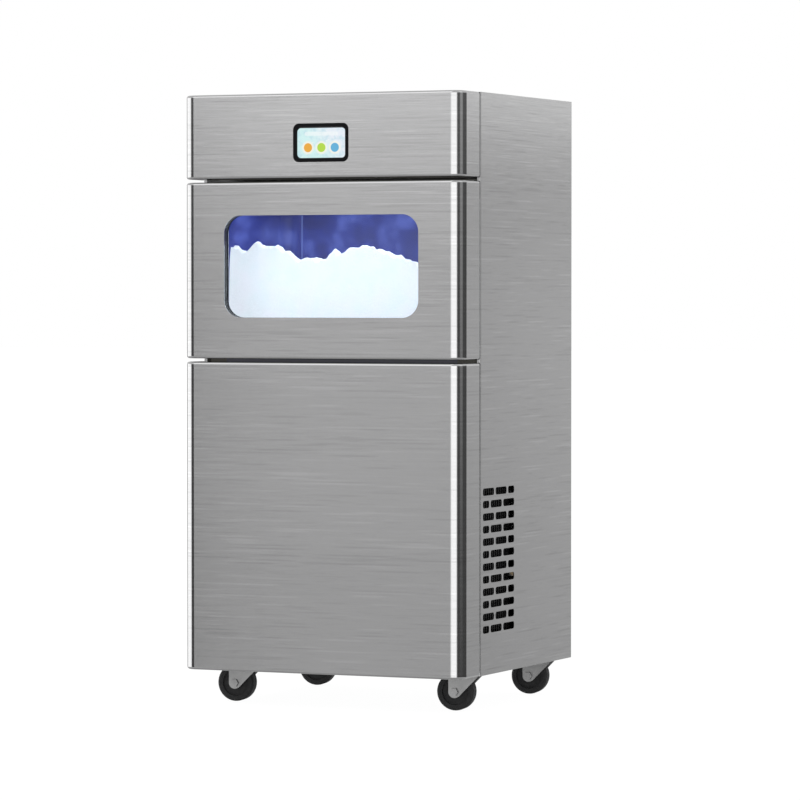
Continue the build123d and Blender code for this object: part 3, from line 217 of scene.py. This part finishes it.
# The upper room is dimmed, apart from the part that the front mirrors to the camera.
front_side = turn_between((-42, -34), (-15, -7))
dim_sky = toward_z.step(0.07, 0.22) * (1 - front_side) * sky_loss
room = room_turn * room_height * level_top ** 2 * (1 - white_panels) * (1 - dim_sky)
room = room + white_panels * white_level + thin_panel
rays = air.nodes.new("ShaderNodeLightPath")
is_camera = Socket(air, rays.outputs["Is Camera Ray"])
is_glossy = Socket(air, rays.outputs["Is Glossy Ray"])
level = is_camera + (1 - is_camera) * (is_glossy * room + (1 - is_glossy) * fill_level)
background = shader_node(air, "ShaderNodeBackground", {}, (1, 1, 1, 1), level)
link_output(air, "ShaderNodeOutputWorld", background)

# Floor. A wide white sheet under the casters. To the camera it is mostly a white glow, and the rest is
# a lit paint that keeps a soft shadow. Polished metal doesn't see it.
floor_reach = 40
floor_tone = 0.9
glow_level = 1.05
glow_share = 0.93
floor_corners = [(x * floor_reach, y * floor_reach, 0) for x, y in ((-1, -1), (1, -1), (1, 1), (-1, 1))]
floor_mesh = bpy.data.meshes.new("floor")
floor_mesh.from_pydata(floor_corners, [], [(0, 1, 2, 3)])
floor = bpy.data.objects.new("floor", floor_mesh)
bpy.context.scene.collection.objects.link(floor)
floor.visible_glossy = False
floor_paint = bpy.data.materials.new("floor_paint")
floor_paint.use_nodes = True
tree = floor_paint.node_tree
tree.nodes.clear()
lit = shader_node(tree, "ShaderNodeBsdfDiffuse", {}, (*grey(floor_tone), 1))
glow = shader_node(tree, "ShaderNodeEmission", {}, (1, 1, 1, 1), glow_level)
floor_rays = tree.nodes.new("ShaderNodeLightPath")
seen = Socket(tree, floor_rays.outputs["Is Camera Ray"])
mixed = shader_node(tree, "ShaderNodeMixShader", {}, seen * glow_share, lit, glow)
link_output(tree, "ShaderNodeOutputMaterial", mixed)
floor_mesh.materials.append(floor_paint)


def softbox(name, place, target, width, height, power):
    """A rectangular lamp that faces a point."""
    data = bpy.data.lights.new(name, "AREA")
    data.shape = "RECTANGLE"
    data.size, data.size_y, data.energy = width, height, power
    lamp = bpy.data.objects.new(name, data)
    lamp.location = place
    lamp.rotation_euler = (Vector(target) - Vector(place)).to_track_quat("-Z", "Y").to_euler()
    bpy.context.scene.collection.objects.link(lamp)
    return lamp


key_lamp = softbox("key_lamp", place=(-1.6, -3.2, 3.0), target=(0, 0, 0.5),
                   width=2.4, height=2.4, power=60)
key_lamp.visible_glossy = False


def cover(material, *names):
    """Puts a material on the named nodes."""
    for name in names:
        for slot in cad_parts[name].material_slots:
            slot.material = material


class Finish:
    """A material with one Principled shader, whose varying inputs are filled by name."""

    def __init__(self, name, **fixed):
        self.material = bpy.data.materials.new(name)
        self.material.use_nodes = True
        self.tree = self.material.node_tree
        self.shader = self.tree.nodes["Principled BSDF"]
        for socket, value in fixed.items():
            self.shader.inputs[socket.replace("_", " ")].default_value = value

    def place(self):
        """The point in the object's own coordinates, in metres, as x, y and z sockets."""
        coordinates = self.tree.nodes.new("ShaderNodeTexCoord")
        return axes(self.tree, coordinates.outputs["Object"])

    def noise(self, scale, stretch=(1, 1, 1), detail=3.0, roughness=0.55):
        """Noise on Object coordinates, finer along an axis with a larger stretch."""
        stretched = [axis * factor for axis, factor in zip(self.place(), stretch)]
        joined = shader_node(self.tree, "ShaderNodeCombineXYZ", {}, *stretched)
        return shader_node(self.tree, "ShaderNodeTexNoise", {}, Vector=joined, Scale=scale, Detail=detail,
                           Roughness=roughness)

    def dashes(self, length, row):
        """Dashes along the sheet: noise that stays the same over the height of each row."""
        row_shift = 1.7
        x, y, z = self.place()
        row_place = (z / row).math("FLOOR") * row_shift
        joined = shader_node(self.tree, "ShaderNodeCombineXYZ", {}, x / length, y / length, row_place)
        return shader_node(self.tree, "ShaderNodeTexNoise", {}, Vector=joined, Scale=1.0, Detail=1.0)

    def feed(self, socket, value):
        """Links a varying value to one of the shader's sockets."""
        self.tree.links.new(value.output, self.shader.inputs[socket])

    def feed_ramp(self, socket, factor, *stops):
        """Feeds a colour that a ramp makes from a factor."""
        self.feed(socket, colour_ramp(self.tree, factor, stops))

    def bump(self, height, distance, strength):
        """Feeds a height through a Bump node to the normal."""
        self.feed("Normal", shader_node(self.tree, "ShaderNodeBump", {}, Strength=strength,
                                        Distance=distance, Height=height))

    def cover(self, *names):
        """Puts this finish on the named nodes."""
        cover(self.material, *names)


# Cabinet sheets. Stainless steel, brushed level all round, so the grain runs along X on the front and
# along Y on the sides. The side sheets and the top are a little darker, with a stronger grain.
def brushed_steel(name, tone, contrast):
    """Brushed sheet: fine level lines, longer faint streaks, rows of dashes and a slow change of tone."""
    hair_depth = 0.09
    streak_depth = 0.08
    mark_depth = 0.085
    cloud_depth = 0.1
    mean_roughness = 0.115
    roughness_depth = 0.06
    steel = Finish(name, Metallic=1.0, IOR=2.5)
    hair = steel.noise(1.0, (9, 9, 1500), detail=2.0)
    streak = steel.noise(1.0, (2.5, 2.5, 170), detail=4.0, roughness=0.6)
    long_dash = steel.dashes(length=0.14, row=0.0027)
    short_dash = steel.dashes(length=0.045, row=0.0017)
    marks = long_dash.step(0.56, 0.74) - long_dash.step(0.42, 0.26) + short_dash.step(0.6, 0.8) * 0.7
    cloud = steel.noise(1.0, (1.6, 1.6, 6), detail=2.0)
    grain = (hair - 0.5) * hair_depth + (streak - 0.5) * streak_depth - marks * mark_depth
    shade = 1 + grain * contrast + (cloud - 0.5) * cloud_depth
    red, green, blue = tone
    steel.feed("Base Color", shader_node(steel.tree, "ShaderNodeCombineColor", {},
                                         shade * red, shade * green, shade * blue))
    roughness = mean_roughness + (streak - 0.5) * roughness_depth + (hair - 0.5) * roughness_depth
    steel.feed("Roughness", roughness)
    steel.bump(hair, distance=0.00005, strength=0.5)
    return steel


front_steel = brushed_steel("front_brushed_steel", tone=(0.5, 0.5, 0.503), contrast=1.0)
front_steel.cover("control_fascia", "door_skin", "service_panel")
side_steel = brushed_steel("side_brushed_steel", tone=(0.49, 0.49, 0.493), contrast=1.3)
side_steel.cover("left_side_panel", "right_side_panel", "top_cover")

# Zinc-coated sheets, none of them shown by the photo: the base pan, the deck, the back panel and the
# fan shroud.
zinc = Finish("zinc_coated_sheet", Metallic=1.0)
spangle = zinc.noise(60, detail=2.0)
zinc.feed_ramp("Base Color", spangle, (0.3, (0.36, 0.37, 0.38)), (0.7, (0.5, 0.51, 0.52)))
zinc.feed("Roughness", 0.38 + spangle * 0.15)
zinc.cover("base_pan", "bin_deck", "back_panel", "fan_shroud")

# Display. A black moulded frame round a lit touch glass. The glass shows a pale misty ground with a
# title bar above and a row of three round buttons, golden, green and blue, below. Its sizes are in
# millimetres from the middle of the glass.
bezel = Finish("bezel_plastic", Base_Color=(0.002, 0.002, 0.003, 1), Roughness=0.4, Specular_IOR_Level=0.12)
bezel.cover("display_bezel")

title_up = 14.5
title_half_x = 30
title_half_z = 3.2
button_up = -8
button_spacing = 24
button_r = 7.4
ring_r = 10.5
lit_up = -0.4
lit_half_x = 43
lit_half_z = 24.2
lit_round = 6.5
mist_tone = (0.5, 0.74, 0.84, 1)
smudge_tone = (0.93, 0.97, 1.0, 1)
title_tone = (0.95, 1.0, 1.0, 1)
ring_tone = (0.99, 0.97, 0.84, 1)
unlit_tone = (0.003, 0.004, 0.005, 1)
button_tones = ((-1, (0.86, 0.4, 0.02, 1)), (0, (0.46, 0.72, 0.04, 1)), (1, (0.1, 0.44, 0.72, 1)))

glass_low, glass_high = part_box("display_screen")
screen_middle = (glass_low + glass_high) / 2
screen = Finish("lit_touch_glass", Base_Color=(0.02, 0.02, 0.02, 1), Roughness=0.15, Emission_Strength=0.9)
x, y, z = screen.place()
across = (x - screen_middle.x) * mm_per_metre
up = (z - screen_middle.z) * mm_per_metre


def rounded_square(centre_x, centre_z, half_x, half_z, round_r, soft=0.5):
    """1 inside a rounded rectangle of the screen, and 0 past its edge of the given softness."""
    reach_x = ((across - centre_x).math("ABSOLUTE") - (half_x - round_r)).math("MAXIMUM", 0)
    reach_z = ((up - centre_z).math("ABSOLUTE") - (half_z - round_r)).math("MAXIMUM", 0)
    reach = (reach_x * reach_x + reach_z * reach_z).math("SQRT")
    return 1 - reach.step(round_r - soft / 2, round_r + soft / 2)


def paint(picture, share, tone):
    """Lays a tone over the picture, by a share that varies over the screen."""
    return blend_colours(screen.tree, share, picture, tone)


mist = screen.noise(110)
smudge = screen.noise(260, detail=2.0)
fade = (across + up * 0.8).step(-22, 34)
picture = blend_colours(screen.tree, fade, (0.66, 0.93, 0.92, 1), (0.84, 0.9, 0.98, 1))
picture = paint(picture, mist.step(0.42, 0.68) * 0.6, mist_tone)
picture = paint(picture, smudge.step(0.55, 0.75) * 0.6, smudge_tone)
title_bar = rounded_square(0, title_up, title_half_x, title_half_z, title_half_z, soft=1.5)
picture = paint(picture, title_bar * 0.6, title_tone)
for button_place, button_tone in button_tones:
    button_x = button_place * button_spacing
    ring = rounded_square(button_x, button_up, ring_r, ring_r, ring_r, soft=3.5)
    picture = paint(picture, ring * 0.8, ring_tone)
    disc = rounded_square(button_x, button_up, button_r, button_r, button_r, soft=1.2)
    picture = paint(picture, disc, button_tone)
lit_area = rounded_square(0, lit_up, lit_half_x, lit_half_z, lit_round)
screen.feed("Emission Color", blend_colours(screen.tree, lit_area, unlit_tone, picture))
screen.cover("display_screen")

# Door window. Two clear panes in a dark moulded frame, with a soft seal round the door's back. The
# panes mirror little, as coated glass does, so their refraction is set below that of plain glass.
pane_refraction = 1.22
pane = bpy.data.materials.new("clear_pane")
pane.use_nodes = True
tree = pane.node_tree
tree.nodes.clear()
facing = shader_node(tree, "ShaderNodeFresnel", {}, IOR=pane_refraction)
clear = shader_node(tree, "ShaderNodeBsdfTransparent", {}, (0.97, 0.985, 1.0, 1))
gloss = shader_node(tree, "ShaderNodeBsdfGlossy", {}, (1, 1, 1, 1), 0.02)
mixed = shader_node(tree, "ShaderNodeMixShader", {}, facing, clear, gloss)
link_output(tree, "ShaderNodeOutputMaterial", mixed)
cover(pane, "window_outer_pane", "window_inner_pane")

dark_mould = Finish("dark_moulded_plastic", Base_Color=(0.02, 0.021, 0.024, 1), Roughness=0.42)
dark_mould.bump(dark_mould.noise(900), distance=0.00005, strength=0.4)
dark_mould.cover("window_frame", "window_spacer", "compressor_terminal_cover", "power_inlet")
seal = Finish("soft_seal", Base_Color=(0.012, 0.012, 0.013, 1), Roughness=0.7)
seal.bump(seal.noise(700), distance=0.00006, strength=0.4)
seal.cover("door_gasket")

# Bin. A smooth moulded tub, whose blue is painted light: a glow that stands for its lamp's light, in soft
# clouds of navy and paler blue and brighter towards the top. A thin pale painted highlight stands upright
# on its back wall, drawn as a seam, with a soft painted shade beside the seam. The faint grey glow of its
# outside is painted light for the light in the gaps.
tub_low, tub_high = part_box("bin_liner")
seam_x = -0.1713
seam_shade_aside = 0.005
back_wall_depth = 0.008
mouth_depth = 0.003
upper_glow = (0.3, 0.39)
tub = Finish("blue_lit_tub", Base_Color=(0.02, 0.025, 0.12, 1), Roughness=0.5, Emission_Strength=1.0)
x, y, z = tub.place()
clouds = tub.noise(1, (12, 5, 17), detail=2.0).step(0.34, 0.66)
wisps = tub.noise(1, (36, 16, 24), detail=2.0).step(0.38, 0.74)
# The tub's glow is painted light: its brightness in clouds and wisps, and brighter towards the top.
brightness = 0.02 + clouds * 0.52 + wisps * 0.34 + (z - tub_low.z).step(*upper_glow) * 0.12
lit_blue = colour_ramp(tub.tree, brightness, (
    (0.0, (0.003, 0.005, 0.05)), (0.45, (0.014, 0.024, 0.16)), (1.0, (0.085, 0.12, 0.42))))
back_wall = y.step(tub_high.y - back_wall_depth - 0.004, tub_high.y - back_wall_depth)
# A thin pale painted highlight upright on the back wall, drawn as a seam, and a soft painted shade beside
# it.
seam_painted_highlight = back_wall * (1 - ((x - seam_x) * mm_per_metre).math("ABSOLUTE").step(0.3, 1.5))
shade_reach = ((x - seam_x + seam_shade_aside) * mm_per_metre).math("ABSOLUTE")
seam_shade = back_wall * (1 - shade_reach.step(1.0, 3.5)) * 0.7
lit_blue = blend_colours(tub.tree, seam_shade, lit_blue, (0.014, 0.018, 0.13, 1))
lit_blue = blend_colours(tub.tree, seam_painted_highlight * 0.55, lit_blue, (0.2, 0.28, 0.62, 1))
# Outside the mouth the tub glows faint grey: painted light for the light in the gaps.
inside = y.step(tub_low.y + mouth_depth, tub_low.y + mouth_depth + 0.001)
tub.feed("Emission Color", blend_colours(tub.tree, inside, (0.04, 0.04, 0.042, 1), lit_blue))
tub.cover("bin_liner")

lamp_strip = Finish("lit_strip", Base_Color=(0.8, 0.85, 1, 1), Roughness=0.4, Emission_Strength=1.6)
wave_rate = 120
led_wave = (lamp_strip.place()[0] * wave_rate).math("SINE") * 0.5 + 0.5
lamp_strip.feed_ramp("Emission Color", led_wave, (0.0, (0.55, 0.7, 1.0)), (1.0, (0.75, 0.85, 1.0)))
lamp_strip.cover("lamp_bar")
lamp_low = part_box("lamp_bar")[0]
softbox("bin_lamp", place=(0, lamp_low.y + 0.012, lamp_low.z - 0.006), target=(0, lamp_low.y - 0.01, 0.6),
        width=0.3, height=0.02, power=0.35)

liner_white = Finish("door_inner_face", Base_Color=(0.7, 0.72, 0.74, 1), Roughness=0.4)
liner_white.bump(liner_white.noise(500), distance=0.00004, strength=0.3)
liner_white.cover("door_liner")

# Snow ice. Loose flakes heaped in the tub, sloping up from its mouth, with a lumpy crest. The surface
# is one grid over the heap's plan, and its walls drop to the heap's foot all round.
ice_low, ice_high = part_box("snow_ice")
lattice = 64


def hash_noise(u, v, seed):
    """Value noise: random heights on a square lattice, blended smoothly between the lattice points."""
    table = np.random.default_rng(seed).random((lattice, lattice))
    column, row = np.floor(u).astype(int), np.floor(v).astype(int)
    s, t = u - column, v - row
    s, t = s * s * (3 - 2 * s), t * t * (3 - 2 * t)
    corner = [[table[(column + i) % lattice, (row + j) % lattice] for j in (0, 1)] for i in (0, 1)]
    near = corner[0][0] * (1 - s) + corner[1][0] * s
    far = corner[0][1] * (1 - s) + corner[1][1] * s
    return near * (1 - t) + far * t


def grid_object(name, points, material, body):
    """Makes a mesh of a rows by columns grid of points and lets it ride on a body."""
    rows, columns = points.shape[:2]
    index = np.arange(rows * columns).reshape(rows, columns)
    faces = np.stack([index[:-1, :-1], index[:-1, 1:], index[1:, 1:], index[1:, :-1]], -1).reshape(-1, 4)
    mesh = bpy.data.meshes.new(name)
    mesh.from_pydata(points.reshape(-1, 3).tolist(), [], faces.tolist())
    mesh.materials.append(material)
    mesh.shade_smooth()
    made = bpy.data.objects.new(name, mesh)
    bpy.context.scene.collection.objects.link(made)
    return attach(made, body)


# The crest is a line across the tub: its drops below the box's top are in millimetres. The slope rises
# behind the mouth, and the fall lowers the heap again towards the back.
ice_columns = 300
ice_rows = 180
crest_share = np.array([-1, -0.87, -0.78, -0.7, -0.61, -0.38, -0.3, -0.2, -0.15, -0.08, -0.04,
                        0.12, 0.23, 0.37, 0.55, 0.7, 1])
crest_drop = np.array([4, 14, 0, 6, 2, 26, 22, 26, 25, 10, 17, 5, 6, 15, 27, 38, 45])
crest_x = ice_high.x * crest_share
crest_z = ice_high.z - 0.001 * crest_drop
ice_front = ice_low.y - 0.0075
slope_y = np.array([ice_front, ice_front + 0.0015, ice_front + 0.004, ice_front + 0.009, ice_high.y])
slope_z = ice_high.z - np.array([0.13, 0.06, 0.022, 0, -0.006])
fall_y = np.array([ice_front, ice_front + 0.024, ice_front + 0.055, ice_front + 0.115, ice_high.y])
fall_z = np.array([0, 0, 0.022, 0.045, 0.05])
u = np.linspace(ice_low.x, ice_high.x, ice_columns)
v = np.linspace(ice_front, ice_high.y, ice_rows)
u, v = np.meshgrid(u, v)
crest = np.interp(u, crest_x, crest_z)
slope = np.interp(v, slope_y, slope_z)
height = np.minimum(crest, slope) - np.interp(v, fall_y, fall_z)
# Each layer of lumps has a size across, a length from front to back, a relief and a seed. Noise above
# the even level stands out, and noise below it dips.
lump_layers = ((0.05, 0.05, 0.004, 1), (0.02, 0.02, 0.005, 2), (0.009, 0.009, 0.005, 3),
               (0.008, 0.04, 0.004, 4), (0.0045, 0.02, 0.003, 5))
shift_u = 7
shift_v = 11
even_level = 0.7
for size, length, relief, seed in lump_layers:
    height = height + (hash_noise(u / size + shift_u, v / length + shift_v, seed) - even_level) * relief
height = np.minimum(height, ice_high.z)
surface = np.stack([u, v, height], -1)
rim = np.pad(surface, ((1, 1), (1, 1), (0, 0)), mode="edge")
rim[0, :, 2] = rim[-1, :, 2] = ice_low.z
rim[:, 0, 2] = rim[:, -1, 2] = ice_low.z
# The ice glows near white: painted light, which gives most of its brightness. The drift and crumb noise vary
# the glow's tone.
ice_finish = Finish("packed_snow_ice", Base_Color=(0.4, 0.44, 0.47, 1), Roughness=0.6, Emission_Strength=0.8)
crumb = ice_finish.noise(260, detail=5.0, roughness=0.7)
drift = ice_finish.noise(26)
ice_finish.feed_ramp("Emission Color", drift + (crumb - 0.5) * 0.3,
                     (0.35, (0.87, 0.94, 0.96)), (0.5, (0.92, 0.95, 0.98)), (0.65, (0.94, 0.93, 0.98)))
ice_finish.bump(crumb, distance=0.002, strength=0.8)
heap = grid_object("snow_ice_heap", rim, ice_finish.material, "root")
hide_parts("snow_ice")

# Casters. Pressed and zinc-plated forks and plates, plated axle bolts, and solid black wheels. The
# screws of the back panel are plated too.
plated = Finish("plated_steel", Metallic=1.0)
plated_cloud = plated.noise(40)
plated.feed_ramp("Base Color", plated_cloud, (0.3, grey(0.27)), (0.7, grey(0.36)))
plated.feed("Roughness", 0.34 + plated_cloud * 0.12)
wheel_black = Finish("wheel_rubber", Base_Color=(0.018, 0.018, 0.019, 1))
scuff = wheel_black.noise(160)
wheel_black.feed("Roughness", 0.6 + scuff * 0.25)
wheel_black.bump(scuff, distance=0.0002, strength=0.4)
for corner in ("front_left", "front_right", "back_left", "back_right"):
    plated.cover(f"caster_{corner}_plate", f"caster_{corner}_fork", f"caster_{corner}_axle")
    wheel_black.cover(f"caster_{corner}_wheel")
plated.cover("back_screws")

# Machinery behind the panels, seen through the vents and the gaps and with the door open. The foam's
# faint glow is painted light for the light in the door's gaps, and its dark colour is painted shade. Inside
# the back panel the water inlet is painted nearly black, as painted shade where little light reaches it.
polished = Finish("polished_stainless", Base_Color=(0.55, 0.55, 0.56, 1), Metallic=1.0)
polished.feed("Roughness", 0.18 + polished.noise(80) * 0.14)
polished.cover("auger", "hinge_arms", "door_pivot_pins")
enamel = Finish("black_enamel", Base_Color=(0.012, 0.012, 0.013, 1))
enamel.feed("Roughness", 0.35 + enamel.noise(90) * 0.25)
enamel.cover("gear_motor", "compressor", "fan_motor", "condenser", "fan_blades")
jacket = Finish("foam_jacket", Base_Color=(0.02, 0.02, 0.02, 1), Roughness=0.85)
jacket.bump(jacket.noise(300), distance=0.0006, strength=0.6)
jacket.cover("freezing_cylinder")
# The foam's dark colour is painted shade of the gaps it is seen through, and its faint glow is painted light
# from the door's gaps.
foam = Finish("rigid_foam", Roughness=0.9, Emission_Color=(0.9, 0.88, 0.8, 1), Emission_Strength=0.035)
cells = foam.noise(240)
foam.feed_ramp("Base Color", cells, (0.3, (0.1, 0.095, 0.08)), (0.7, (0.16, 0.15, 0.125)))
foam.bump(cells, distance=0.0005, strength=0.5)
foam.cover("bin_insulation", "door_foam")
food_mould = Finish("white_moulding", Base_Color=(0.62, 0.64, 0.66, 1))
food_mould.feed("Roughness", 0.35 + food_mould.noise(120) * 0.15)
food_mould.cover("extruding_head", "ice_chute", "water_tank", "water_tank_lid", "float_arm", "drain_outlet")
brass = Finish("turned_brass", Metallic=1.0)
back_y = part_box("back_panel")[1].y
# Inside the back panel the inlet is painted nearly black: painted shade where little light reaches it.
outer_end = brass.place()[1].step(back_y - 0.002, back_y)
brass_painted_shade = (0.01, 0.008, 0.004, 1)
lit_brass = (0.2, 0.14, 0.06, 1)
brass.feed("Base Color", blend_colours(brass.tree, outer_end, brass_painted_shade, lit_brass))
brass.feed("Roughness", 0.45 + brass.noise(1, (20, 2500, 20)) * 0.15)
brass.cover("water_inlet")
board = Finish("circuit_board", Roughness=0.45)
board.feed_ramp("Base Color", board.noise(90), (0.45, (0.01, 0.09, 0.03)), (0.55, (0.02, 0.16, 0.05)))
board.cover("control_board")
